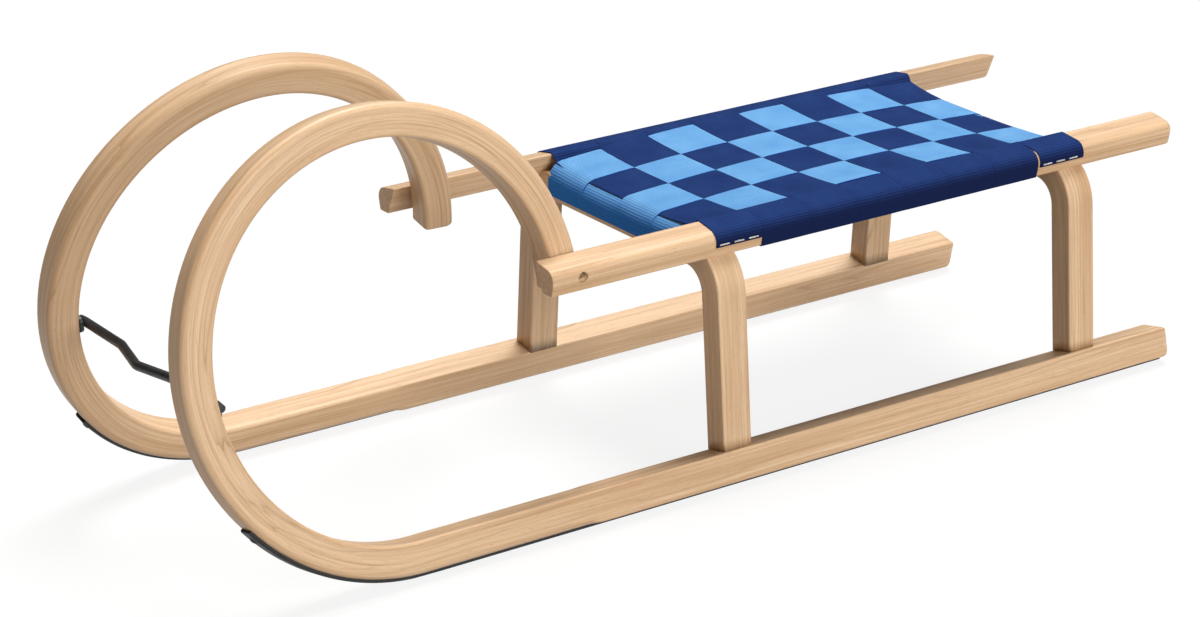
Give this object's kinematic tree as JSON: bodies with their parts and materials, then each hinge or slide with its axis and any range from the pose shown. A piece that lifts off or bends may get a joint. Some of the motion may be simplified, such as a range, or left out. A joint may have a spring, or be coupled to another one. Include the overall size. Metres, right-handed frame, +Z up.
{
  "type": "horn sled",
  "caption": "Wooden snow sled: canted runners curl up into open horns, bows carry side rails and a seat of woven webbing, and a bent rod between the horns takes the pull.",
  "frame": {"origin": "middle of the sled's box in plan, on the ground", "axes": "+X forward to the horns, +Y to the rider's left, +Z up"},
  "size_m": [1.0095, 0.3332, 0.3739],
  "materials": {
    "wood": "clear satin lacquer over pale bentwood",
    "shoe": "dark rolled steel",
    "rod": "satin black",
    "navy_webbing": "ribbed woven webbing",
    "blue_webbing": "ribbed woven webbing"
  },
  "bodies": {
    "root": {"runner_left": "wood", "runner_right": "wood", "bow_front": "wood", "bow_rear": "wood", "rail_left": "wood", "rail_right": "wood", "shoe_left": "shoe", "shoe_right": "shoe", "pull_rod": "rod", "cross_strap_1": "navy_webbing", "cross_strap_2": "navy_webbing", "cross_strap_3": "navy_webbing", "cross_strap_4": "navy_webbing", "cross_strap_5": "navy_webbing", "cross_strap_6": "navy_webbing", "cross_strap_7": "navy_webbing", "cross_strap_8": "navy_webbing", "long_strap_1": "blue_webbing", "long_strap_2": "blue_webbing", "long_strap_3": "blue_webbing", "long_strap_4": "blue_webbing"}
  },
  "joints": []
}
